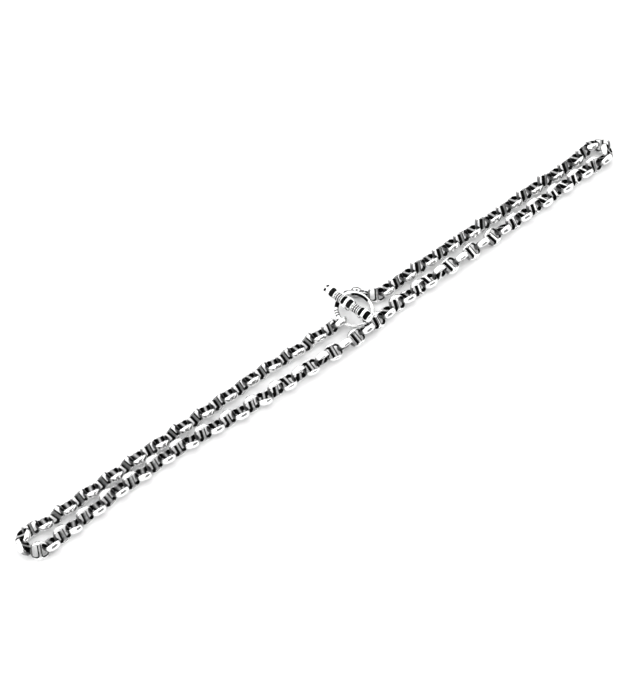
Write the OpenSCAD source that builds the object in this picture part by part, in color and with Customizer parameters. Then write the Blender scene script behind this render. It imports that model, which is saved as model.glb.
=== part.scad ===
// Link chain necklace: a closed chain of oval links, each with a bar across
// its middle, closed by a ring and toggle bar, lying flat as a long narrow loop.
// Units are millimetres, +Z is up, Z = 0 is the surface that the chain lies on.
// X runs along the loop, from the left bend to the right bend.
// Y runs from the near strand to the far strand.

/* [Chain links] */
// Length of one link, along the chain
link_l = 5.6; // [5.55:0.01:5.62]
// Width of one link, across the chain
link_w = 5.55; // [5.5:0.01:5.55]
// Thickness of a link across its middle
link_t = 2.1; // [2:0.05:2.1]
// Thickness of a link at its two ends
link_end_t = 1.0; // [0.9:0.05:1.05]
// Wall at each end of a link, inside a joined run
end_wall = 0.84; // [0.82:0.01:0.86]
// Wall at each end of a link that stays loose from its neighbour
loose_wall = 0.41; // [0.4:0.01:0.42]
// Wall along each side of a link
side_wall = 0.92; // [0.88:0.01:0.95]
// Width of the bar across the middle of a link
stud_w = 1.7; // [1.6:0.05:1.75]
// Width of that bar in the links of the bends and beside the clasp
bend_stud_w = 0.9; // [0.8:0.05:0.9]
// Distance from one link to the next
pitch = 4.45; // [4.42:0.01:4.47]
// How differently the links lean, degrees either way
shake = 9; // [0:0.5:10]
// How far a link can hang below its neighbours
sag = 0.45; // [0.3:0.05:0.45]

/* [Small tail links] */
// Length of a tail link
tail_l = 3.45; // [3.3:0.05:3.5]
// Width of a tail link
tail_w = 3.1; // [2.9:0.1:3.2]
// Thickness of a tail link
tail_t = 1.2; // [1.0:0.1:1.2]
// Thickness of a tail link at its two ends
tail_end_t = 0.75; // [0.7:0.05:0.8]

/* [Toggle ring] */
// Radius of the ring, to the middle of its wire
ring_r = 5.6; // [5.55:0.05:5.65]
// Diameter of the ring's wire
ring_wire = 1.4; // [1.2:0.1:1.4]
// Slope of the ring, which lies on the tail at its far side
ring_slope = 14.5; // [14.5:0.5:15.5]

/* [Toggle bar] */
// Distance between the middles of two cages
cage_step = 6.85; // [6.7:0.05:7.0]
// Length of one cage
cage_l = 4.7; // [4.5:0.1:4.9]
// Largest diameter of a cage
cage_d = 4.3; // [4.1:0.1:4.3]
// Diameter of the collars between the cages
collar_d = 2.6; // [2.4:0.1:2.7]
// Width of a cage window, along the bar
window_l = 1.35; // [1.2:0.05:1.4]
// Height of a cage window, across the bar
window_h = 2.9; // [2.7:0.1:3.0]
// Rounding at the two ends of the bar
cap_r = 1.5; // [1.4:0.05:1.55]

/* [Hidden] */
$fn = 64;
silver = "#c9cacb";

// Middle of the laid necklace in the route's own coordinates
MIDDLE = [-2.079, 6.244];

// ROUTE of each strand: columns are x, y of the thread's line
NEAR = [[-116, -0.6], [-111, -0.55], [-102, 0.1], [-84, 1.4], [-66, 1.65], [-56, 1.1],
  [-44, -0.1], [-27, -1.05], [-10, -1.45], [4, -1.86], [12, -1.4], [22, -0.3],
  [32, -0.15], [44, 0], [60, -0.05], [80, 0.1], [102, 0.45], [108, 0.5]];
FAR_LEFT = [[-112, 6.9], [-108.3, 6.2], [-99.6, 6.35], [-86, 6.6], [-65, 6.75], [-50, 6.65],
  [-26, 6.95], [-12, 6.35], [0, 6.05], [6, 5.8]];
FAR_RIGHT = [[17, 5.9], [36, 6.05], [50, 5.9], [63, 5.7], [85, 5.9], [95, 5.7],
  [103, 5.8], [108, 6.3]];

// ROLL of the chain about its thread: columns are link number, degrees.
// The near strand turns over once on its way, the rest lies at a steady slant.
ROLL = [[-30, 33], [-3, 33], [2, 54], [4, 60], [18, 62], [20, 68], [22, 80], [24, 89],
  [26, 106], [28, 120], [30, 137], [33, 150], [35, 162], [36, 182], [37, 192], [38, 205],
  [41, 212], [43, 238], [46, 248], [50, 244], [57, 209], [77, 209]];

// Lean of links in their own plane and shift across the chain:
// link number, lean of even links, lean of odd links, shift of even links
SWING = [[-30, -16, -15, 0.2], [-3, -16, -15, 0.2], [3, 20, 3, -0.2], [22, 18, 3, -0.2],
  [26, 0, 0, 0], [30, 8, 4, 0], [35, 6, 8, 0], [37, 3, -14, 0], [40, 0, -15, 0],
  [43, 0, -8, -0.1], [50, 0, -6, -0.15], [57, -7, 0, 0.2], [77, -7, 0, 0.2]];

// BENDS: columns are link number, x, y, z, heading, climb, roll
LEFT_BEND = [[1, -115.05, -0.2, 2.25, -26.6, -1.9, 43.2],
  [0, -117.98, 3.63, 2.44, -106.9, -3.8, 127.8],
  [-1, -116, 6.6, 2.27, -140, 0.7, 44],
  [-2, -112.57, 7.4, 2.51, 176.2, 0.1, 123.6]];
RIGHT_BEND = [[51, 106.18, 0.4, 2.47, -8.2, -0.2, 234],
  [52, 110.29, -0.15, 2.36, 8.2, 0.3, 312],
  [53, 113.18, 1.54, 2.53, 52.4, 4.3, 237.5],
  [54, 113.9, 4.59, 2.51, 121.4, -14.5, 304.9],
  [55, 111.3, 6.85, 2.16, 157.9, -3.6, 219],
  [56, 107.34, 6.55, 2.47, -173.8, -0.2, 306]];

// TAIL: columns are x, y, z, heading, climb, roll of each small link
TAIL = [[17.67, 9.82, 1.31, 125.1, -0.9, 39],
  [16.1, 11.62, 1.48, 129.2, 6.8, 128.8],
  [14.33, 12.97, 1.44, 157.8, 8.2, 47.7],
  [12.3, 11.08, 1.24, -120.6, 3.1, 146],
  [10.83, 9.86, 2.15, -140.7, 38.2, 64.1]];

// Joints at the two ends of the chain: columns of the links as in TAIL
RING_AT = [10.91, 6.5];
RING_LINK = [4.02, 5.58, 2.48, 2.1, -2.6, 125.3];
BAR_LINK = [19.95, 6.5, 2.39, 150.9, 4.2, 130.4];
BAR_AT = [8.93, 7.39, 6.25];
BAR_HEADING = -81;
BAR_RISE = 1;
BAR_ROLL = 20;

// Value at t in column c of a table whose rows start with t, straight between rows
function lerp_in(T, t, c = 1, i = 0) =
  i >= len(T) - 2 || t <= T[i + 1][0]
  ? T[i][c] + (T[i + 1][c] - T[i][c]) * (t - T[i][0]) / (T[i + 1][0] - T[i][0])
  : lerp_in(T, t, c, i + 1);

// Roll of link k: its neighbour is turned a quarter turn from it
function roll_of(k) = lerp_in(ROLL, k) + (k % 2 == 0 ? 90 : 0);
// Lean of link k in its own plane, a little different from link to link
function lean(k) = lerp_in(SWING, k, k % 2 == 0 ? 1 : 2) + shake * sin(113 * k);
// Half height of a link of lean n seen along its thread, at angle a from its width
function reach(a, n) = let (c = abs(cos(a)), s = abs(sin(a)), r = link_t / 2,
  cr = link_l / 2 - r, h = link_l / 2 * cos(max(0, acos(link_w / link_l) - abs(n))),
  e = sqrt(max(0, r * r - pow(h - cr, 2))))
  cr + r * c <= h ? cr * c + r : h * c + e * s;
// Height of a link of roll b and lean n: one that could lie lower than its
// neighbours hangs in them, sag lower than they lie
function rest_z(b, n) = max(reach(90 - b, n), reach(b, n) - sag);
// Shift of link k across the chain: odd links go the other way
function shift(k) = lerp_in(SWING, k, 3) * (k % 2 == 0 ? 1 : -1);

// Place of link k on the plan, along the strands and round the bends
function bend_row(T, k) = [for (r = T) if (r[0] == k) [r[1], r[2]]][0];
function near_x(k) = pitch * (k - 27);
function far_left_x(k) = -108.5 + (-3 - k) * (pitch - 0.09);
function far_right_x(k) = 18.85 + (76 - k) * pitch;
function spot(k) =
  k >= 2 && k <= 50 ? [near_x(k), lerp_in(NEAR, near_x(k))] :
  k > 50 && k < 57 ? bend_row(RIGHT_BEND, k) :
  k >= 57 ? [far_right_x(k), lerp_in(FAR_RIGHT, far_right_x(k))] :
  k > -3 ? bend_row(LEFT_BEND, k) :
  [far_left_x(k), lerp_in(FAR_LEFT, far_left_x(k))];
// Heading of link k: along the line between its two neighbours
function heading(k) = let (a = spot(k - 1), b = spot(k + 1))
  atan2(b[1] - a[1], b[0] - a[0]);

// One window of a link: from x0 to x1 along the chain, h high, corners rounded
module window2d(x0, x1, h, r) {
  intersection() {
    translate([x0, -h / 2]) square([x1 - x0, h]);
    union() {
      translate([x0, -h / 2 + r]) square([x1 - x0, h - 2 * r]);
      translate([x0, -h / 2]) square([x1 - x0 - r, h]);
      for (s = [-1, 1]) translate([x1 - r, s * (h / 2 - r)]) circle(r);
    }
  }
}

// A link: a disc with a round rim and flattened sides, thickest across its
// middle, with two windows and a bar
module link_body(l, w, t, end_t, wall_a, wall_b, side, stud) {
  fall = (t - end_t) / 2;
  bow = (l * l / 4 + fall * fall) / (2 * fall);
  difference() {
    intersection() {
      rotate_extrude() {
        translate([0, -t / 2]) square([l / 2 - t / 2, t]);
        intersection() {
          translate([l / 2 - t / 2, 0]) circle(t / 2);
          translate([0.1, -t]) square([l, 2 * t]);
        }
      }
      cube([l + 1, w, t + 1], center = true);
      for (s = [-1, 1]) translate([0, 0, s * (t / 2 - bow)]) rotate([90, 0, 0])
        cylinder(r = bow, h = w + 1, center = true, $fn = 128);
    }
    linear_extrude(t + 1, center = true) {
      window2d(stud / 2, l / 2 - wall_b, w - 2 * side, l * 0.2);
      mirror([1, 0]) window2d(stud / 2, l / 2 - wall_a, w - 2 * side, l * 0.2);
    }
  }
}

// Link k of the main chain at its place, with loose ends where it ends a run
module chain_link(k, loose_back = false, loose_on = false) {
  p = spot(k) - MIDDLE;
  b = roll_of(k);
  calm = loose_back || loose_on ? 0.3 : 1;
  n = lean(k) * calm;
  stud = k == -28 || k == 75 ? bend_stud_w : stud_w; // the run's last link by the clasp
  translate([p[0], p[1] + shift(k) * calm, rest_z(b, n)]) rotate([b, 0, heading(k)])
    rotate([0, 0, n]) link_body(link_l, link_w, link_t, link_end_t, loose_back ? loose_wall : end_wall,
      loose_on ? loose_wall : end_wall, side_wall, stud);
}
// A run of joined links from number a to number b
module run(a, b) {
  color(silver) for (k = [a : b]) chain_link(k, k == a, k == b);
}
// A solid at the place of a row: x, y, z, heading, climb, roll
module placed(P) {
  color(silver) translate([P[0] - MIDDLE[0], P[1] - MIDDLE[1], P[2]])
    rotate([P[5], -P[4], P[3]]) children();
}
// A full-size link that is loose at both ends, at the place of a row
module loose_link(P) {
  placed(P) link_body(link_l, link_w, link_t, link_end_t, loose_wall, loose_wall, side_wall, bend_stud_w);
}
module bend_link(T, k) {
  loose_link([for (r = T) if (r[0] == k) [for (i = [1 : 6]) r[i]]][0]);
}

module near_run_1() { run(2, 8); }
module near_run_2() { run(9, 15); }
module near_run_3() { run(16, 22); }
module near_run_4() { run(23, 29); }
module near_run_5() { run(30, 36); }
module near_run_6() { run(37, 43); }
module near_run_7() { run(44, 50); }
module far_left_run_1() { run(-11, -3); }
module far_left_run_2() { run(-20, -12); }
module far_left_run_3() { run(-28, -21); }
module far_right_run_1() { run(57, 63); }
module far_right_run_2() { run(64, 69); }
module far_right_run_3() { run(70, 75); }
module left_bend_link_1() { bend_link(LEFT_BEND, 1); }
module left_bend_link_2() { bend_link(LEFT_BEND, 0); }
module left_bend_link_3() { bend_link(LEFT_BEND, -1); }
module left_bend_link_4() { bend_link(LEFT_BEND, -2); }
module right_bend_link_1() { bend_link(RIGHT_BEND, 51); }
module right_bend_link_2() { bend_link(RIGHT_BEND, 52); }
module right_bend_link_3() { bend_link(RIGHT_BEND, 53); }
module right_bend_link_4() { bend_link(RIGHT_BEND, 54); }
module right_bend_link_5() { bend_link(RIGHT_BEND, 55); }
module right_bend_link_6() { bend_link(RIGHT_BEND, 56); }

// The two full-size links that end the chain at the clasp
module ring_end_link() { loose_link(RING_LINK); }
module bar_end_link() { loose_link(BAR_LINK); }

// Small links of the tail
module tail_link(i) {
  placed(TAIL[i]) link_body(tail_l, tail_w, tail_t, tail_end_t, 0.35, 0.35, 0.55, 0.5);
}
module tail_link_1() { tail_link(0); }
module tail_link_2() { tail_link(1); }
module tail_link_3() { tail_link(2); }
module tail_link_4() { tail_link(3); }
module tail_link_5() { tail_link(4); }

// The ring: its near side on the surface, its far side up on the tail
module toggle_ring() {
  color(silver)
    translate([RING_AT[0] - MIDDLE[0], RING_AT[1] - MIDDLE[1],
      ring_wire / 2 + ring_r * sin(ring_slope)])
      rotate([ring_slope, 0, 0])
        rotate_extrude() translate([ring_r, 0]) circle(ring_wire / 2);
}

// One barrel-shaped cage of the bar, solid, from -a to b along X
module barrel(a, b) {
  rb = (pow(cage_l / 2, 2) + pow((cage_d - collar_d) / 2, 2)) / (cage_d - collar_d);
  rotate([0, 90, 0]) rotate_extrude() intersection() {
    translate([cage_d / 2 - rb, 0]) circle(rb, $fn = 96);
    translate([0, -a]) square([cage_d, a + b]);
  }
}
// A window right through a cage, and the plate that leaves its rounded slot
module cage_window(x) {
  r = window_l / 2 - 0.01;
  translate([x, 0, 0]) linear_extrude(cage_d + 1, center = true) {
    square([window_l, window_h - 2 * r], center = true);
    for (s = [-1, 1]) translate([0, s * (window_h / 2 - r)]) circle(r);
  }
}
module toggle_bar() {
  half = cage_l / 2;
  cap_x = cage_step + 2.75 - cap_r;
  eye_r = 1.15;
  color(silver)
    translate([BAR_AT[0] - MIDDLE[0], BAR_AT[1] - MIDDLE[1], BAR_AT[2]])
      rotate([BAR_ROLL, -BAR_RISE, BAR_HEADING]) {
        difference() {
          union() {
            barrel(half, half);
            for (s = [-1, 1]) {
              translate([s * cage_step, 0, 0])
                barrel(s < 0 ? 1.9 : half, s < 0 ? half : 1.9);
              translate([s * cap_x, 0, 0]) sphere(cap_r);
              // collar with three ridges
              translate([s * cage_step / 2, 0, 0]) rotate([0, 90, 0]) {
                cylinder(d = collar_d, h = cage_step - cage_l + 0.6, center = true);
                for (i = [-1, 0, 1]) translate([0, 0, i * 0.72])
                  cylinder(d = collar_d + 0.2, h = 0.34, center = true);
              }
            }
          }
          for (x = [-1, 1]) cage_window(x * (window_l / 2 + 0.48));
          for (x = [-1, 1]) cage_window(cage_step + x * (window_l / 2 + 0.48));
          cage_window(-cage_step + window_l / 2 + 0.48);
          // two small holes in the far end
          for (s = [-1, 1]) translate([-cage_step - 1.3, s * 0.72, 0])
            cylinder(d = 0.75, h = cage_d + 1, center = true);
        }
        // eye under the middle cage
        translate([0, 0, -cage_d / 2 - eye_r + 0.45]) rotate([0, 90, 0])
          rotate_extrude() translate([eye_r, 0]) circle(0.4);
      }
}

near_run_1();
near_run_2();
near_run_3();
near_run_4();
near_run_5();
near_run_6();
near_run_7();
far_left_run_1();
far_left_run_2();
far_left_run_3();
far_right_run_1();
far_right_run_2();
far_right_run_3();
left_bend_link_1();
left_bend_link_2();
left_bend_link_3();
left_bend_link_4();
right_bend_link_1();
right_bend_link_2();
right_bend_link_3();
right_bend_link_4();
right_bend_link_5();
right_bend_link_6();
ring_end_link();
bar_end_link();
tail_link_1();
tail_link_2();
tail_link_3();
tail_link_4();
tail_link_5();
toggle_ring();
toggle_bar();
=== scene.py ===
import math

import bpy
import numpy as np
from mathutils import Matrix, Vector


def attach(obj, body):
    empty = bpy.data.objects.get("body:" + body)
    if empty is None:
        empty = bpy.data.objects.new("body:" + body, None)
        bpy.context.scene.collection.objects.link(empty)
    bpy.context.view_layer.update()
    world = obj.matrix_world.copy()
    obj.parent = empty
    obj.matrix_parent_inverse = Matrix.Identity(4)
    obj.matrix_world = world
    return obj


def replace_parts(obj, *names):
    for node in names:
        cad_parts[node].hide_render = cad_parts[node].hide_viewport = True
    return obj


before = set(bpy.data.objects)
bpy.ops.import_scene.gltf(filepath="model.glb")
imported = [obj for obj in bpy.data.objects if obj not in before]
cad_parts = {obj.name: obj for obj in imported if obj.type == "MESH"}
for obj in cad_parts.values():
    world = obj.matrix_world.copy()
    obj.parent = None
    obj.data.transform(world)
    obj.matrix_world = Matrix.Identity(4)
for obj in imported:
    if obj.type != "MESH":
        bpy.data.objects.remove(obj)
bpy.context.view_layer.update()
MM = 0.001

# ---------------------------------------------------------------- sizes (mm)
LINK_L, LINK_W, LINK_T, LINK_END_T = 5.6, 5.55, 2.1, 1
PITCH, SHAKE, SAG = 4.45, 9, 0.45
STUD_W, BEND_STUD_W = 1.7, 0.9
RING_R, RING_WIRE, RING_SLOPE = 5.6, 1.4, 14.5
CAGE_STEP, CAGE_L, CAGE_D, COLLAR_D = 6.85, 4.7, 4.3, 2.6
WINDOW_L, WINDOW_H, CAP_R = 1.35, 2.9, 1.5
MIDDLE = np.array([-2.079, 6.244])

# Route of each strand: x, y of the thread's line
NEAR = [(-116, -0.6), (-111, -0.55), (-102, 0.1), (-84, 1.4), (-66, 1.65), (-56, 1.1),
        (-44, -0.1), (-27, -1.05), (-10, -1.45), (4, -1.86), (12, -1.4), (22, -0.3),
        (32, -0.15), (44, 0), (60, -0.05), (80, 0.1), (102, 0.45), (108, 0.5)]
FAR_LEFT = [(-112, 6.9), (-108.3, 6.2), (-99.6, 6.35), (-86, 6.6), (-65, 6.75),
            (-50, 6.65), (-26, 6.95), (-12, 6.35), (0, 6.05), (6, 5.8)]
FAR_RIGHT = [(17, 5.9), (36, 6.05), (50, 5.9), (63, 5.7), (85, 5.9), (95, 5.7), (103, 5.8),
             (108, 6.3)]
# Roll of the chain about its thread: link number, degrees
ROLL = [(-30, 33), (-3, 33), (2, 54), (4, 60), (18, 62), (20, 68), (22, 80), (24, 89),
        (26, 106), (28, 120), (30, 137), (33, 150), (35, 162), (36, 182), (37, 192),
        (38, 205), (41, 212), (43, 238), (46, 248), (50, 244), (57, 209), (77, 209)]
# Lean of links in their own plane and shift across the chain: link number,
# lean of even links, lean of odd links, shift of even links
SWING = [(-30, -16, -15, 0.2), (-3, -16, -15, 0.2), (3, 20, 3, -0.2), (22, 18, 3, -0.2),
         (26, 0, 0, 0), (30, 8, 4, 0), (35, 6, 8, 0), (37, 3, -14, 0), (40, 0, -15, 0),
         (43, 0, -8, -0.1), (50, 0, -6, -0.15), (57, -7, 0, 0.2), (77, -7, 0, 0.2)]
# Links of the bends: number: x, y, z, heading, climb, roll
LEFT_BEND = {1: (-115.05, -0.2, 2.25, -26.6, -1.9, 43.2),
             0: (-117.98, 3.63, 2.44, -106.9, -3.8, 127.8),
             -1: (-116, 6.6, 2.27, -140, 0.7, 44),
             -2: (-112.57, 7.4, 2.51, 176.2, 0.1, 123.6)}
RIGHT_BEND = {51: (106.18, 0.4, 2.47, -8.2, -0.2, 234),
              52: (110.29, -0.15, 2.36, 8.2, 0.3, 312),
              53: (113.18, 1.54, 2.53, 52.4, 4.3, 237.5),
              54: (113.9, 4.59, 2.51, 121.4, -14.5, 304.9),
              55: (111.3, 6.85, 2.16, 157.9, -3.6, 219),
              56: (107.34, 6.55, 2.47, -173.8, -0.2, 306)}
TAIL = [(17.67, 9.82, 1.31, 125.1, -0.9, 39), (16.1, 11.62, 1.48, 129.2, 6.8, 128.8),
        (14.33, 12.97, 1.44, 157.8, 8.2, 47.7), (12.3, 11.08, 1.24, -120.6, 3.1, 146),
        (10.83, 9.86, 2.15, -140.7, 38.2, 64.1)]
RING_AT = (10.91, 6.5)
RING_LINK = (4.02, 5.58, 2.48, 2.1, -2.6, 125.3)
BAR_LINK = (19.95, 6.5, 2.39, 150.9, 4.2, 130.4)
BAR_AT = (8.93, 7.39, 6.25)
BAR_HEADING, BAR_RISE, BAR_ROLL = -81, 1, 20


def lerp_in(table, t, c=1):
    i = 0
    while i < len(table) - 2 and t > table[i + 1][0]:
        i += 1
    a, b = table[i], table[i + 1]
    return a[c] + (b[c] - a[c]) * (t - a[0]) / (b[0] - a[0])


def roll_of(k):
    return lerp_in(ROLL, k) + (90 if k % 2 == 0 else 0)


def lean(k):
    """Lean of a link in its own plane, a little different from link to link."""
    wave = math.sin(math.radians(113 * k))
    return lerp_in(SWING, k, 1 if k % 2 == 0 else 2) + SHAKE * wave


def shift(k):
    return lerp_in(SWING, k, 3) * (1 if k % 2 == 0 else -1)


def reach(deg, n):
    c, s = abs(math.cos(math.radians(deg))), abs(math.sin(math.radians(deg)))
    r = LINK_T / 2
    cr = LINK_L / 2 - r
    flat = math.degrees(math.acos(LINK_W / LINK_L))
    h = LINK_L / 2 * math.cos(math.radians(max(0, flat - abs(n))))
    e = math.sqrt(max(0, r * r - (h - cr) ** 2))
    return cr * c + r if cr + r * c <= h else h * c + e * s


def rest_z(b, n):
    return max(reach(90 - b, n), reach(b, n) - SAG)


def near_x(k):
    return PITCH * (k - 27)


def far_left_x(k):
    return -108.5 + (-3 - k) * (PITCH - 0.09)


def far_right_x(k):
    return 18.85 + (76 - k) * PITCH


def spot(k):
    if 2 <= k <= 50:
        return near_x(k), lerp_in(NEAR, near_x(k))
    if k in RIGHT_BEND:
        return RIGHT_BEND[k][:2]
    if k >= 57:
        return far_right_x(k), lerp_in(FAR_RIGHT, far_right_x(k))
    if k in LEFT_BEND:
        return LEFT_BEND[k][:2]
    return far_left_x(k), lerp_in(FAR_LEFT, far_left_x(k))


def heading(k):
    a, b = spot(k - 1), spot(k + 1)
    return math.degrees(math.atan2(b[1] - a[1], b[0] - a[0]))


def row_of(k, calm=1):
    """x, y, z, heading, climb, roll, lean of a link that lies in a run."""
    p, b, n = spot(k), roll_of(k), lean(k) * calm
    return p[0], p[1] + shift(k) * calm, rest_z(b, n), heading(k), 0.0, b, n


def rot(axis, deg):
    c, s = math.cos(math.radians(deg)), math.sin(math.radians(deg))
    return {"x": np.array([[1, 0, 0], [0, c, -s], [0, s, c]]),
            "y": np.array([[c, 0, s], [0, 1, 0], [-s, 0, c]]),
            "z": np.array([[c, -s, 0], [s, c, 0], [0, 0, 1]])}[axis]


def placement(row):
    x, y, z, h, c, r = row[:6]
    n = row[6] if len(row) > 6 else 0
    return (rot("z", h) @ rot("y", -c) @ rot("x", r) @ rot("z", n),
            np.array([x - MIDDLE[0], y - MIDDLE[1], z]))


# ------------------------------------------------------------- mesh helpers
def smooth(t):
    t = min(max(t, 0.0), 1.0)
    return t * t * (3 - 2 * t)


def weld(verts, faces, masks, tol=1e-4):
    """Joins vertices that lie on each other."""
    key = np.round(verts / tol).astype(np.int64)
    _, first, inverse = np.unique(key, axis=0, return_index=True, return_inverse=True)
    inverse = inverse.reshape(-1)
    faces = inverse[faces]
    return verts[first], faces, masks[first]


def mesh_object(name, verts, quads, masks, material):
    """A smooth mesh of quads (a repeated last corner makes a triangle), in mm."""
    me = bpy.data.meshes.new(name)
    n = len(verts)
    me.vertices.add(n)
    me.vertices.foreach_set("co", (np.asarray(verts) * MM).astype(np.float32).ravel())
    me.loops.add(len(quads) * 4)
    me.loops.foreach_set("vertex_index", np.asarray(quads, np.int32).ravel())
    me.polygons.add(len(quads))
    me.polygons.foreach_set("loop_start", np.arange(0, len(quads) * 4, 4, dtype=np.int32))
    me.update(calc_edges=True)
    me.validate()
    at = me.attributes.new("oxide_and_shade", "FLOAT", "POINT")
    at.data.foreach_set("value", np.asarray(masks, np.float32))
    me.polygons.foreach_set("use_smooth", [True] * len(me.polygons))
    me.materials.append(material)
    me.update()
    o = bpy.data.objects.new(name, me)
    bpy.context.scene.collection.objects.link(o)
    return o


def link_quarter(a, b, t, s, xe, hw, rc, rs, hs, side=0.0, bar_shade=(0.97, 0.64, 0.48, 0.42, 0.36), power=2.25):
    """One eighth of a link (x, y, z all above 0): grid points, faces and masks.
    a, b: half length and half width; t: half thickness; s: half width of the bar;
    xe, hw: reach and half height of the window; rc, rs: its corner radii;
    hs: half thickness of the bar; side: painted shade, black round the outer side;
    tint: painted shade on the bar (a little real tarnish, mostly standing in for shade), how dark it is from its
    middle plane up to its ridge."""
    def out_by_x(x):
        return np.array([x, b * (1 - (x / a) ** power) ** (1 / power)])

    def out_by_y(y):
        return np.array([a * (1 - (y / b) ** power) ** (1 / power), y])

    def out_by_ray(p, d):
        lo, hi = 0.0, a
        for _ in range(40):
            m = (lo + hi) / 2
            q = p + d * m
            if (abs(q[0]) / a) ** power + (abs(q[1]) / b) ** power > 1:
                hi = m
            else:
                lo = m
        return p + d * lo
    st = []                              # station: inner point, outer point, part
    for i in range(4):                   # up the bar
        y = (hw - rs) * i / 4
        st.append((np.array([s, y]), np.array([0, y]), "bar", y))
    for i in range(6):                   # round the corner to the rim
        w = math.radians(180 - 90 * i / 6)
        p = np.array([s + rs + rs * math.cos(w), hw - rs + rs * math.sin(w)])
        if i < 3:
            st.append((p, None, "bar", i / 3))
        else:
            st.append((p, out_by_x((s + rs) * 0.78 * (i - 3) / 3), "rim", 0))
    x1 = xe - rc
    for i in range(3):                   # along the rim's side
        x = s + rs + (x1 - s - rs) * i / 3
        st.append((np.array([x, hw]),
                   out_by_x((s + rs) * 0.78 + (x1 * 1.02 - (s + rs) * 0.78) * i / 3), "rim", 0))
    for i in range(8):                   # round the outer corner
        w = math.radians(90 - 90 * i / 8)
        d = np.array([math.cos(w), math.sin(w)])
        p = np.array([x1, hw - rc]) + rc * d
        d2 = d + np.array([0.02, 0.0])
        st.append((p, out_by_ray(p, d2 / np.linalg.norm(d2)), "rim", 0))
    for i in range(4):                   # along the end
        y = (hw - rc) * (1 - i / 3)
        st.append((np.array([xe, y]), out_by_y(y * 1.04 if i < 3 else 0.0), "rim", 0))
    ends = len(st) - 10                  # from here on the faces, which sit inside the neighbours' windows, get painted shade grey
    depth = 0.76
    yc = b - depth * (b - hw)
    corner = 4 + 3
    arc = [0.0, 14, 28, 42, 55, 67, 79, 90]
    grid, mask = [], []
    full = b - hw
    for i, (p, q, part, w) in enumerate(st):
        g = smooth((i - 2.5) / 6.0)
        if part == "bar":
            y = w if i < 4 else (hw - rs) + (yc - (hw - rs)) * w
            q = np.array([0.0, y])
            d = q - p
            ell = float(np.linalg.norm(d))
            d = d / ell
            # the bar narrows from its middle plane up to its ridge
            f = (s - min(0.34, 0.62 * s)) * (1 - smooth((i - 3) / 4.0))
            f = max(f, 0.2 * s)
            top = hs + (t - hs) * smooth((y - 0.45 * hw) / (yc - 0.45 * hw))
            edge = hs * 0.965 + (t * 0.985 - hs * 0.965) * g
            rows = [(0, 0), (f * 0.2, 0.4 * edge), (f * 0.5, 0.7 * edge),
                    (f * 0.78, 0.9 * edge), (f, edge), (ell, top)]
            # painted shade: black at the bar's middle plane, grey up to its ridge, mostly standing in for its shade
            # in the windows
            m = [1, *bar_shade]
            rows += [None] * (len(arc) - 1)
            m += [None] * (len(arc) - 1)
            pts = [None if r is None else (*(p + d * r[0]), r[1]) for r in rows]
        else:
            d = q - p
            if i == corner:
                d = np.array([0.0, yc]) - p
                ell = float(np.linalg.norm(d)) + depth * full
                wall = full
            else:
                ell = float(np.linalg.norm(d))
                wall = ell
            h = t
            dd = depth * min(wall, full)
            f = 0.19 * min(wall, full)
            edge = (h * 0.975) * g + (1 - g) * (hs * 0.965)
            edge = min(edge, h * 0.985)
            if i == corner:
                ridge = np.array([0.0, yc])
                d = (ridge - p) / np.linalg.norm(ridge - p)
                pl = [p, p, p, p + d * f * 0.29, p + d * f, ridge]
                o = np.array([0.0, 1.0])
            else:
                d = d / ell
                ridge = q - d * dd
                pl = [p, p, p, p + d * f * 0.29, p + d * f, ridge]
                o = d
            zz = [0, 0.5 * (edge - f), edge - f, edge - f * 0.29, edge, h]
            pts = [(*pl[j], zz[j]) for j in range(6)]
            for al in arc[1:]:
                r = math.radians(al)
                e = ridge + o * dd * math.sin(r)
                pts.append((e[0], e[1], h * math.cos(r)))
            e = smooth((i - ends) / 4.0)
            # window walls black: oxide in the hollow, deepened to full black as painted shade; the ends get painted
            # shade grey, and the side value paints the outer side black as shade
            m = [1, 1, 1, 0.85, 0.10 + 0.42 * e, 0.02 + 0.50 * e]
            m += [max(e * (0.50 - 0.10 * smooth(al / 90)), side * smooth((al - 28) / 27))
                  for al in arc[1:]]
        grid.append(pts)
        mask.append(m)
    return grid, mask, corner


def link_shape(*args, end_t):
    """A whole closed link as welded quads; end_t: thickness at its two ends."""
    grid, mask, _ = link_quarter(*args)
    index, verts, masks = {}, [], []
    for i, col in enumerate(grid):
        for j, p in enumerate(col):
            if p is not None:
                index[i, j] = len(verts)
                verts.append(p)
                masks.append(mask[i][j])
    faces = []
    for i in range(len(grid) - 1):
        for j in range(len(grid[0]) - 1):
            k = [(i, j), (i + 1, j), (i + 1, j + 1), (i, j + 1)]
            if all(c in index for c in k):
                faces.append([index[c] for c in k])
    V, F, Mk = np.array(verts, float), np.array(faces), np.array(masks, float)
    # the link is thickest across its middle and thins towards its ends
    half, thick = args[0], args[2]
    fall = thick - end_t / 2
    bow = (half ** 2 + fall ** 2) / (2 * fall)
    V[:, 2] *= 1 - (bow - np.sqrt(bow ** 2 - V[:, 0] ** 2)) / thick
    vs, fs, ms = [], [], []
    for sx in (1, -1):
        for sy in (1, -1):
            for sz in (1, -1):
                vs.append(V * np.array([sx, sy, sz]))
                f = F if sx * sy * sz > 0 else F[:, ::-1]
                fs.append(f + len(V) * (len(vs) - 1))
                ms.append(Mk)
    V, F, Mk = weld(np.concatenate(vs), np.concatenate(fs), np.concatenate(ms))
    # outward faces: the first face's winding is tested on the volume's sign
    a, b, c, d = (V[F[:, i]] for i in range(4))
    vol = np.einsum("ij,ij->i", a, np.cross(b, c)).sum() + np.einsum("ij,ij->i", a, np.cross(c, d)).sum()
    if vol < 0:
        F = F[:, ::-1]
    return V, F, Mk


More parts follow.
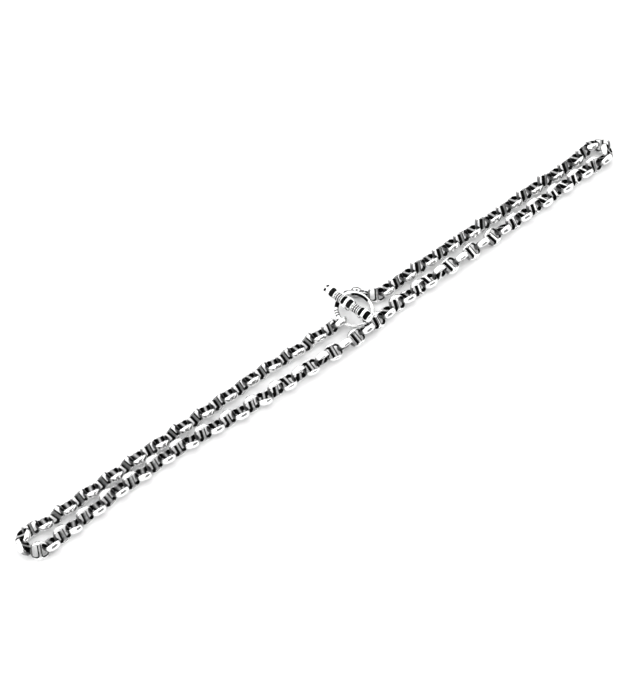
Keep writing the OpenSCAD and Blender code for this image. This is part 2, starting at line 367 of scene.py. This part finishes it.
# --------------------------------------------- solids from a distance field
def surface_nets(field, lo, hi, step):
    """Quads of the surface field = 0 (inside is below 0), welded and closed."""
    lo, hi = np.array(lo, float), np.array(hi, float)
    n = np.ceil((hi - lo) / step).astype(int) + 1
    ax = [lo[i] + step * np.arange(n[i]) for i in range(3)]
    X, Y, Z = np.meshgrid(*ax, indexing="ij")
    D = field(X, Y, Z)
    neg = D < 0
    c = [neg[i:n[0] - 1 + i, j:n[1] - 1 + j, k:n[2] - 1 + k]
         for i in (0, 1) for j in (0, 1) for k in (0, 1)]
    count = sum(x.astype(np.int8) for x in c)
    cells = np.argwhere((count > 0) & (count < 8))
    ident = -np.ones(tuple(n - 1), np.int64)
    ident[tuple(cells.T)] = np.arange(len(cells))
    total, hits = np.zeros((len(cells), 3)), np.zeros(len(cells))
    corner = [(i, j, k) for i in (0, 1) for j in (0, 1) for k in (0, 1)]
    for p in range(8):
        for q in range(p + 1, 8):
            dp = np.array(corner[q]) - np.array(corner[p])
            if abs(dp).sum() != 1:
                continue
            a = D[tuple((cells + corner[p]).T)]
            b = D[tuple((cells + corner[q]).T)]
            cut = (a < 0) != (b < 0)
            t = np.where(cut, a / np.where(a == b, 1, a - b), 0)
            pos = np.array(corner[p]) + t[:, None] * dp
            total += np.where(cut[:, None], pos, 0)
            hits += cut
    V = lo + (cells + total / hits[:, None]) * step
    quads = []
    for axis in range(3):
        u, w = [(1, 2), (2, 0), (0, 1)][axis]
        sl_a = [slice(None)] * 3
        sl_b = [slice(None)] * 3
        sl_a[axis], sl_b[axis] = slice(0, -1), slice(1, None)
        a, b = neg[tuple(sl_a)], neg[tuple(sl_b)]
        e = np.argwhere(a != b)
        e = e[(e[:, u] > 0) & (e[:, w] > 0) & (e[:, u] < n[u] - 1) & (e[:, w] < n[w] - 1)]
        inside = a[tuple(e.T)]
        du, dw = np.zeros(3, int), np.zeros(3, int)
        du[u], dw[w] = 1, 1
        q = np.stack([ident[tuple((e - du - dw).T)], ident[tuple((e - dw).T)],
                      ident[tuple(e.T)], ident[tuple((e - du).T)]], 1)
        q[~inside] = q[~inside][:, ::-1]
        quads.append(q)
    F = np.concatenate(quads)
    eps = step * 0.15
    for _ in range(4):                   # onto the surface, along its slope
        P = V
        g = np.stack([field(P[:, 0] + eps, P[:, 1], P[:, 2]) - field(P[:, 0] - eps, P[:, 1], P[:, 2]),
                      field(P[:, 0], P[:, 1] + eps, P[:, 2]) - field(P[:, 0], P[:, 1] - eps, P[:, 2]),
                      field(P[:, 0], P[:, 1], P[:, 2] + eps) - field(P[:, 0], P[:, 1], P[:, 2] - eps)], 1) / (2 * eps)
        d = field(P[:, 0], P[:, 1], P[:, 2])
        g2 = np.maximum((g * g).sum(1), 0.2)
        move = -(d / g2)[:, None] * g
        ln = np.linalg.norm(move, axis=1)
        move *= np.minimum(1, 0.4 * step / np.maximum(ln, 1e-9))[:, None]
        V = V + move
    return V, F


def smin(a, b, k):
    h = np.clip(0.5 + 0.5 * (b - a) / k, 0, 1)
    return b + (a - b) * h - k * h * (1 - h)


def smax(a, b, k):
    return -smin(-a, -b, k)


def slot2d(u, v, hu, hv, r):
    """Distance to a rounded slot of half sizes hu, hv and corner radius r."""
    du, dv = np.abs(u) - (hu - r), np.abs(v) - (hv - r)
    return np.hypot(np.maximum(du, 0), np.maximum(dv, 0)) + np.minimum(np.maximum(du, dv), 0) - r


WIN = [s * CAGE_STEP + x * (WINDOW_L / 2 + 0.48) for s in (0, 1) for x in (-1, 1)]
WIN.append(-CAGE_STEP + WINDOW_L / 2 + 0.48)
TIP = CAGE_STEP + 2.75
HOLE_R = 0.43


def bar_parts(x, y, z):
    """Distance fields of the bar's solid and of what is cut from it."""
    r = np.hypot(y, z)
    rb = ((CAGE_L / 2) ** 2 + ((CAGE_D - COLLAR_D) / 2) ** 2) / (CAGE_D - COLLAR_D)
    body = None
    for s in (-1, 0, 1):
        d = np.hypot(x - s * CAGE_STEP, r - (CAGE_D / 2 - rb)) - rb
        d = smax(d, np.abs(x - s * CAGE_STEP) - CAGE_L / 2, 0.12)
        body = d if body is None else smin(body, d, 0.10)
    for s in (-1, 1):
        body = smin(body, np.sqrt((x - s * (TIP - CAP_R)) ** 2 + y ** 2 + z ** 2) - CAP_R, 0.35)
        c = smax(r - COLLAR_D / 2, np.abs(x - s * CAGE_STEP / 2) - (CAGE_STEP - CAGE_L) / 2 - 0.3, 0.05)
        body = smin(body, c, 0.08)
        for i in (-1, 0, 1):
            ridge = np.hypot(r - COLLAR_D / 2 + 0.08, x - s * CAGE_STEP / 2 - i * 0.72) - 0.22
            body = smin(body, ridge, 0.05)
    cut = np.full_like(body, 9.0)
    for w in WIN:
        cut = np.minimum(cut, slot2d(x - w, y, WINDOW_L / 2, WINDOW_H / 2, WINDOW_L / 2 - 0.12))
    for s in (-1, 1):
        cut = np.minimum(cut, np.hypot(x + CAGE_STEP + 1.3, y - s * 0.72) - HOLE_R)
    return body, cut


def bar_field(x, y, z):
    body, cut = bar_parts(x, y, z)
    body = smax(body, -cut, 0.14)
    # lines engraved round and along the collars
    r = np.hypot(y, z)
    ang = np.arctan2(z, y)
    for s in (-1, 1):
        u = x - s * CAGE_STEP / 2
        near = np.abs(u) < 1.0
        wedge = np.abs(((ang / (2 * math.pi) * 12) % 1) - 0.5) * (2 * math.pi / 12) * r
        g = np.where(near, np.maximum(0.0, 0.055 - np.abs(wedge - 0.0)), 0.0)
        body = body + 0.9 * g
    eye = np.hypot(np.hypot(y, z + CAGE_D / 2 + 1.15 - 0.45) - 1.15, x) - 0.4
    return smin(body, eye, 0.15)


# ---------------------------------------------------------------- materials
def node(tree, kind, **values):
    n = tree.nodes.new(kind)
    for k, v in values.items():
        if k.startswith("in_"):
            n.inputs[int(k[3:]) if k[3:].isdigit() else k[3:].replace("_", " ")].default_value = v
        else:
            setattr(n, k, v)
    return n


def silver_material(name, scale=1.0, dark_shift=0.0):
    """Polished silver with fine scratches; where the per-vertex mask is high it turns a painted-shade grey, then
    black (oxide in the hollows, deepened to black as painted shade).
    """
    m = bpy.data.materials.new(name)
    m.use_nodes = True
    t = m.node_tree
    t.nodes.clear()
    out = node(t, "ShaderNodeOutputMaterial")
    bs = node(t, "ShaderNodeBsdfPrincipled")
    t.links.new(bs.outputs[0], out.inputs[0])
    co = node(t, "ShaderNodeTexCoord")
    rec = node(t, "ShaderNodeAttribute", attribute_name="oxide_and_shade")
    # broken edge of the black
    n1 = node(t, "ShaderNodeTexNoise", in_Scale=1400.0 * scale, in_Detail=3.0, in_Roughness=0.6)
    t.links.new(co.outputs["Object"], n1.inputs["Vector"])
    off = node(t, "ShaderNodeMapRange", in_1=0.25, in_2=0.75, in_3=-0.07 + dark_shift, in_4=0.07 + dark_shift)
    t.links.new(n1.outputs[0], off.inputs[0])
    add = node(t, "ShaderNodeMath", operation="ADD")
    t.links.new(rec.outputs["Fac"], add.inputs[0])
    t.links.new(off.outputs[0], add.inputs[1])
    # black: oxide in the hollows, deepened to full black as painted shade
    black = node(t, "ShaderNodeMapRange", interpolation_type="SMOOTHSTEP", in_1=0.39, in_2=0.72, in_3=0.0, in_4=1.0)
    t.links.new(add.outputs[0], black.inputs[0])
    # painted shade: grey on the bars and the neighbours' ends, standing in for their shade and dark reflections
    grey = node(t, "ShaderNodeMapRange", interpolation_type="SMOOTHSTEP", in_1=0.08, in_2=0.5, in_3=0.0, in_4=1.0)
    t.links.new(add.outputs[0], grey.inputs[0])
    # cloudy tarnish
    n2 = node(t, "ShaderNodeTexNoise", in_Scale=420.0 * scale, in_Detail=4.0, in_Roughness=0.55)
    t.links.new(co.outputs["Object"], n2.inputs["Vector"])
    tone = node(t, "ShaderNodeMix", data_type="RGBA")
    tone.inputs["A"].default_value = (0.955, 0.955, 0.95, 1)
    tone.inputs["B"].default_value = (0.86, 0.865, 0.87, 1)
    mr = node(t, "ShaderNodeMapRange", in_1=0.42, in_2=0.7, in_3=0.0, in_4=0.7)
    t.links.new(n2.outputs[0], mr.inputs[0])
    t.links.new(mr.outputs[0], tone.inputs["Factor"])
    # mid grey colour of the painted shade
    mid = node(t, "ShaderNodeMix", data_type="RGBA")
    mid.inputs["B"].default_value = (0.155, 0.155, 0.157, 1)
    t.links.new(tone.outputs["Result"], mid.inputs["A"])
    t.links.new(grey.outputs[0], mid.inputs["Factor"])
    low = node(t, "ShaderNodeMix", data_type="RGBA")
    low.inputs["B"].default_value = (0.0025, 0.0025, 0.0025, 1)
    t.links.new(mid.outputs["Result"], low.inputs["A"])
    t.links.new(black.outputs[0], low.inputs["Factor"])
    t.links.new(low.outputs["Result"], bs.inputs["Base Color"])
    metal = node(t, "ShaderNodeMapRange", in_1=0.0, in_2=1.0, in_3=1.0, in_4=0.0)
    t.links.new(black.outputs[0], metal.inputs[0])
    t.links.new(metal.outputs[0], bs.inputs["Metallic"])
    # roughness: hair scratches on the polish, dull in the black
    sc = node(t, "ShaderNodeMapping")
    sc.inputs["Scale"].default_value = (700 * scale, 4200 * scale, 2600 * scale)
    sc.inputs["Rotation"].default_value = (0.3, 0.5, 0.8)
    t.links.new(co.outputs["Object"], sc.inputs["Vector"])
    n3 = node(t, "ShaderNodeTexNoise", in_Scale=1.0, in_Detail=5.0, in_Roughness=0.7)
    t.links.new(sc.outputs[0], n3.inputs["Vector"])
    ro = node(t, "ShaderNodeMapRange", in_1=0.3, in_2=0.75, in_3=0.10, in_4=0.24)
    t.links.new(n3.outputs[0], ro.inputs[0])
    rm = node(t, "ShaderNodeMix", data_type="FLOAT")
    t.links.new(grey.outputs[0], rm.inputs["Factor"])
    t.links.new(ro.outputs[0], rm.inputs["A"])
    rm.inputs["B"].default_value = 0.5
    t.links.new(rm.outputs["Result"], bs.inputs["Roughness"])
    bs.inputs["Specular IOR Level"].default_value = 0.04
    # bump: fine scratches, soft hammer waviness, grain in the black
    b1 = node(t, "ShaderNodeBump", in_Strength=0.06, in_Distance=0.00003)
    t.links.new(n3.outputs[0], b1.inputs["Height"])
    b2 = node(t, "ShaderNodeBump", in_Strength=0.18, in_Distance=0.00006)
    t.links.new(n2.outputs[0], b2.inputs["Height"])
    t.links.new(b1.outputs[0], b2.inputs["Normal"])
    t.links.new(b2.outputs[0], bs.inputs["Normal"])
    return m


SILVER = silver_material("polished_silver")

# ------------------------------------------------------------------- pieces
# Painted shade on the bars differs from stretch to stretch of the chain: darker or lighter grey stands in for how the
# roll of each stretch catches the light
STUD_SHADES = {"grey": (0.97, 0.60, 0.47, 0.40, 0.33), "dark": (1, 0.95, 0.74, 0.40, 0.30),
        "bright": (1, 1, 0.80, 0.24, 0.10)}
FULL = {k: link_shape(LINK_L / 2, LINK_W / 2, LINK_T / 2, STUD_W / 2 + 0.15, 2.26, 1.92, 0.9, 0.26, 0.84,
                      0.0, v, end_t=LINK_END_T) for k, v in STUD_SHADES.items()}
NARROW = link_shape(LINK_L / 2, LINK_W / 2, LINK_T / 2, BEND_STUD_W / 2 + 0.2, 2.26, 1.92, 1.15, 0.26,
                    0.84, 0.0, STUD_SHADES["dark"], end_t=LINK_END_T)
TIGHT = link_shape(LINK_L / 2, LINK_W / 2, LINK_T / 2, BEND_STUD_W / 2 - 0.03, 2.26, 1.92, 1.2, 0.26,
                   0.84, 0.0, STUD_SHADES["dark"], end_t=LINK_END_T)
# the small tail links lie in the bar's shade: their outer side is painted black as shade
SMALL = link_shape(3.45 / 2, 3.1 / 2, 1.2 / 2, 0.25, 1.375, 1.0, 0.72, 0.2, 0.5, 0.9, STUD_SHADES["dark"],
                   end_t=0.75)


def links_object(name, rows, shapes):
    vs, fs, ms = [], [], []
    count = 0
    for row, (V, F, Mk) in zip(rows, shapes):
        R, T = placement(row)
        vs.append(V @ R.T + T)
        fs.append(F + count)
        ms.append(Mk)
        count += len(V)
    o = mesh_object(name, np.concatenate(vs), np.concatenate(fs), np.concatenate(ms), SILVER)
    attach(o, "root")
    return o


# which painted shade each stretch's bars get, by link number
def shade_of_stretch(k):
    if k < -11 or k > 56 or 12 < k < 30:
        return "dark"
    return "grey" if k < 13 else "bright"


RUNS = {"near_run_1": (2, 8), "near_run_2": (9, 15), "near_run_3": (16, 22),
        "near_run_4": (23, 29), "near_run_5": (30, 36), "near_run_6": (37, 43),
        "near_run_7": (44, 50), "far_left_run_1": (-11, -3),
        "far_left_run_2": (-20, -12), "far_left_run_3": (-28, -21),
        "far_right_run_1": (57, 63), "far_right_run_2": (64, 69),
        "far_right_run_3": (70, 75)}
for name, (a, b) in RUNS.items():
    ks = range(a, b + 1)
    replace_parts(links_object("links_" + name, [row_of(k, 0.3 if k in (a, b) else 1) for k in ks],
                             [NARROW if k in (-28, 75) else FULL[shade_of_stretch(k)] for k in ks]), name)
for i, k in enumerate((1, 0, -1, -2), 1):
    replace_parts(links_object(f"link_left_bend_{i}", [LEFT_BEND[k]], [NARROW]), f"left_bend_link_{i}")
for i, k in enumerate(range(51, 57), 1):
    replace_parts(links_object(f"link_right_bend_{i}", [RIGHT_BEND[k]], [TIGHT if k in (53, 54) else NARROW]),
                f"right_bend_link_{i}")
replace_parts(links_object("link_ring_end", [RING_LINK], [NARROW]), "ring_end_link")
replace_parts(links_object("link_bar_end", [BAR_LINK], [NARROW]), "bar_end_link")
for i, row in enumerate(TAIL, 1):
    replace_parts(links_object(f"link_tail_{i}", [row], [SMALL]), f"tail_link_{i}")


def ring_object():
    """The ring: a round wire with the faint flats and swell of a hand-finished one."""
    nu, nv = 256, 40
    u = np.linspace(0, 2 * math.pi, nu, endpoint=False)[:, None]
    v = np.linspace(0, 2 * math.pi, nv, endpoint=False)[None, :]
    r = RING_WIRE / 2 * (1 - 0.012 * (0.5 + 0.5 * np.sin(3 * u + 0.6)) - 0.008 * (0.5 + 0.5 * np.cos(7 * u)))
    rr = RING_R + r * np.cos(v)
    P = np.stack([rr * np.cos(u), rr * np.sin(u), r * np.sin(v) + 0 * u], -1).reshape(-1, 3)
    i, j = np.meshgrid(np.arange(nu), np.arange(nv), indexing="ij")
    i2, j2 = (i + 1) % nu, (j + 1) % nv
    F = np.stack([i * nv + j, i2 * nv + j, i2 * nv + j2, i * nv + j2], -1).reshape(-1, 4)
    R = rot("x", RING_SLOPE)
    T = np.array([RING_AT[0] - MIDDLE[0], RING_AT[1] - MIDDLE[1],
                  RING_WIRE / 2 + RING_R * math.sin(math.radians(RING_SLOPE))])
    # painted shade: the inner side of the wire turns partly grey, standing in for the shade inside the ring
    inner = np.clip(-np.cos(v) * 1.0 - 0.55, 0, 1) * 0.5 + 0 * u
    a, b = np.degrees(u), np.degrees(v)
    # painted shade: black on the inner face of the band under the bar; painted dark reflection on a wedge of the left
    # wall; three short dark strips beyond it
    turn = np.where(a > 180, a - 360, a)
    arc = np.clip((turn + 6) / 8, 0, 1) * np.clip((68 - turn) / 14, 0, 1) * np.clip((b - 100) / 14, 0, 1) * np.clip((262 - b) / 14, 0, 1)
    wedge = np.clip((a - 108) / 3, 0, 1) * np.clip((141 - a) / 4, 0, 1) * np.clip((b - 15) / 12, 0, 1) * np.clip((215 - b) / 12, 0, 1)
    dark_strips = sum(np.clip(1 - np.abs(a - c) / 2.6, 0, 1) for c in (149, 157, 165)) * np.clip((150 - b) / 15, 0, 1)
    # faint lines along the near side
    near = np.clip((a - 205) / 15, 0, 1) * np.clip((330 - a) / 15, 0, 1)
    lines = near * sum(np.clip(1 - np.abs(b - c) / 9, 0, 1) for c in (52, 100)) * 0.3
    mask = np.maximum.reduce([inner, arc, wedge, np.minimum(1, 1.4 * dark_strips) * 0.8, lines])
    o = mesh_object("clasp_ring", P @ R.T + T, F, mask.reshape(-1), SILVER)
    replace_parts(o, "toggle_ring")
    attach(o, "root")
    return o


ring_object()


def bar_object():
    step = 0.085
    V, F = surface_nets(bar_field, (-10.2, -2.3, -4.6), (10.2, 2.3, 2.3), step)
    x, y, z = V.T
    body, cut = bar_parts(x, y, z)
    r = np.hypot(y, z)
    # black inside the windows and holes: oxide in the hollows, deepened to full black as painted shade; grey lines on
    # the collars
    deep = np.clip((-body - 0.10) / 0.12, 0, 1)
    m = np.where(cut < 0.25, deep, 0.0)
    hole = np.hypot(x + CAGE_STEP + 1.3, np.abs(y) - 0.72) - HOLE_R
    m = np.maximum(m, np.clip((0.08 - hole) / 0.08, 0, 1))
    ang = np.arctan2(z, y) / (2 * math.pi) * 12
    along = np.abs(ang - np.round(ang)) * (2 * math.pi / 12) * r
    for s in (-1, 1):
        u = np.abs(x - s * CAGE_STEP / 2)
        low = np.clip((COLLAR_D / 2 + 0.06 - r) / 0.05, 0, 1)
        low = np.maximum(low * 0.8, np.clip(1.5 - along / 0.08, 0, 1) * 0.62)
        m = np.maximum(m, np.where(u < 1.08, low, 0))
    R = rot("z", BAR_HEADING) @ rot("y", -BAR_RISE) @ rot("x", BAR_ROLL)
    T = np.array([BAR_AT[0] - MIDDLE[0], BAR_AT[1] - MIDDLE[1], BAR_AT[2]])
    o = mesh_object("clasp_bar", V @ R.T + T, F, m, SILVER)
    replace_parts(o, "toggle_bar")
    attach(o, "root")
    return o


bar_object()

# ---------------------------------------------------- floor, light, camera
def stage_plane(name, size, place, turn, colour, emit=None):
    me = bpy.data.meshes.new(name)
    sx, sy = size[0] / 2, size[1] / 2
    me.from_pydata([(-sx, -sy, 0), (sx, -sy, 0), (sx, sy, 0), (-sx, sy, 0)], [], [(0, 1, 2, 3)])
    o = bpy.data.objects.new(name, me)
    bpy.context.scene.collection.objects.link(o)
    o.location = place
    o.rotation_euler = [math.radians(v) for v in turn]
    m = bpy.data.materials.new(name)
    m.use_nodes = True
    bs = m.node_tree.nodes["Principled BSDF"]
    bs.inputs["Base Color"].default_value = (*colour, 1)
    bs.inputs["Roughness"].default_value = 0.9
    bs.inputs["Specular IOR Level"].default_value = 0.0
    if emit:
        bs.inputs["Emission Color"].default_value = (1, 1, 1, 1)
        bs.inputs["Emission Strength"].default_value = emit
    me.materials.append(m)
    return o


scene = bpy.context.scene
scene.view_settings.view_transform = "Standard"
scene.view_settings.look = "None"
scene.view_settings.exposure = 0.0
scene.view_settings.gamma = 1.0

stage_plane("floor", (6, 6), (0, 0, -0.00002), (0, 0, 0), (0.97, 0.97, 0.97))

world = bpy.data.worlds.new("studio")
scene.world = world
world.use_nodes = True
world.node_tree.nodes["Background"].inputs[0].default_value = (1, 1, 1, 1)
world.node_tree.nodes["Background"].inputs[1].default_value = 1.5


def area(name, place, target, size, watts):
    li = bpy.data.lights.new(name, "AREA")
    li.shape = "RECTANGLE"
    li.size, li.size_y = size
    li.energy = watts
    o = bpy.data.objects.new(name, li)
    scene.collection.objects.link(o)
    o.location = place
    o.rotation_euler = (Vector(target) - Vector(place)).to_track_quat("-Z", "Y").to_euler()
    return o


area("key", (-0.5, 0.7, 1.3), (0, 0, 0), (0.9, 0.6), 2.0)


def flag(name, radius, low, high, start, end, colour):
    """A dark card bent round the table, which only the reflections see."""
    n = 48
    me = bpy.data.meshes.new(name)
    v = []
    for i in range(n + 1):
        w = math.radians(start + (end - start) * i / n)
        for e in (low, high):
            v.append((radius * math.cos(w), radius * math.sin(w), radius * math.tan(math.radians(e))))
    me.from_pydata(v, [], [(2 * i, 2 * i + 2, 2 * i + 3, 2 * i + 1) for i in range(n)])
    o = bpy.data.objects.new(name, me)
    scene.collection.objects.link(o)
    mt = bpy.data.materials.new(name)
    mt.use_nodes = True
    b = mt.node_tree.nodes["Principled BSDF"]
    b.inputs["Base Color"].default_value = (*colour, 1)
    b.inputs["Roughness"].default_value = 1.0
    b.inputs["Specular IOR Level"].default_value = 0.0
    me.materials.append(mt)
    o.visible_camera = False
    return o


flag("side_card", 1.6, 0.0, 44.0, -112, -52, (0.16, 0.16, 0.16))
flag("grey_horizon", 1.9, 0.0, 8.0, 0, 360, (0.3, 0.3, 0.3))

PHI, ELEV = math.radians(40.12), math.radians(55.0)
cam_data = bpy.data.cameras.new("camera")
cam = bpy.data.objects.new("camera", cam_data)
scene.collection.objects.link(cam)
cam_data.sensor_fit = "HORIZONTAL"
cam_data.sensor_width = 36.0
cam_data.lens = 2811.0 * 36.0 / 634.0
right = Vector((math.cos(PHI), -math.sin(PHI), 0))
up = Vector((math.sin(PHI) * math.sin(ELEV), math.cos(PHI) * math.sin(ELEV), math.cos(ELEV)))
back = right.cross(up)
m = Matrix.Identity(4)
for i in range(3):
    m[i][0], m[i][1], m[i][2] = right[i], up[i], back[i]
m.translation = Vector(((-324.36 - MIDDLE[0]) * MM, (-373.51 - MIDDLE[1]) * MM, 704.02 * MM))
cam.matrix_world = m
cam_data.clip_start, cam_data.clip_end = 0.01, 20
scene.camera = cam
